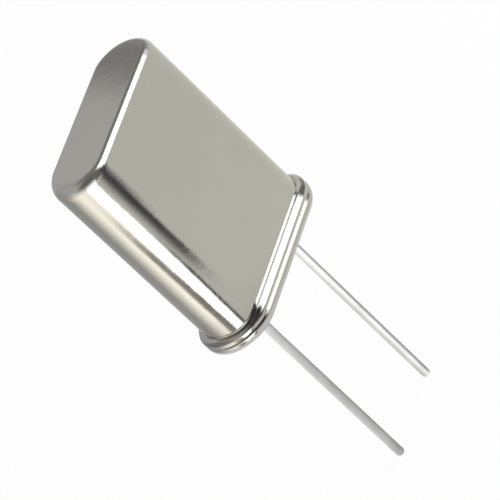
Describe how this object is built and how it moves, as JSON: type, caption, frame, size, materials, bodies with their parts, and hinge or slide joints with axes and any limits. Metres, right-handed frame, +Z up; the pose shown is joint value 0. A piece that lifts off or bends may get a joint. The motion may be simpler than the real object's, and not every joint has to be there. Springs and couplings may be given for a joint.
{
  "type": "crystal oscillator",
  "caption": "Quartz crystal unit in a tall flat metal can with half-round ends, a welded double flange and straight wire leads through glass seals.",
  "frame": {"origin": "the middle of the seating plane, the flat rim under the base, between the leads", "axes": "+Z up through the middle of the can, away from the board; +X along the lead pitch and the can's width, to the right seen from the front; -Y out of the front broad face"},
  "size_m": [0.011, 0.0044, 0.0258],
  "materials": {
    "can_plating": "satin",
    "base_plating": "satin",
    "seal_glass": "gloss",
    "tinned_wire": "satin",
    "spring_strip": "satin",
    "quartz": "gloss",
    "silver_film": "satin",
    "silver_cement": "matte"
  },
  "bodies": {
    "root": {"can": "can_plating", "base": "base_plating", "glass_seal_left": "seal_glass", "glass_seal_right": "seal_glass", "lead_left": "tinned_wire", "lead_right": "tinned_wire", "support_spring_left": "spring_strip", "support_spring_right": "spring_strip", "quartz_blank": "quartz", "electrode_front": "silver_film", "electrode_back": "silver_film", "cement_left": "silver_cement", "cement_right": "silver_cement"}
  },
  "joints": []
}
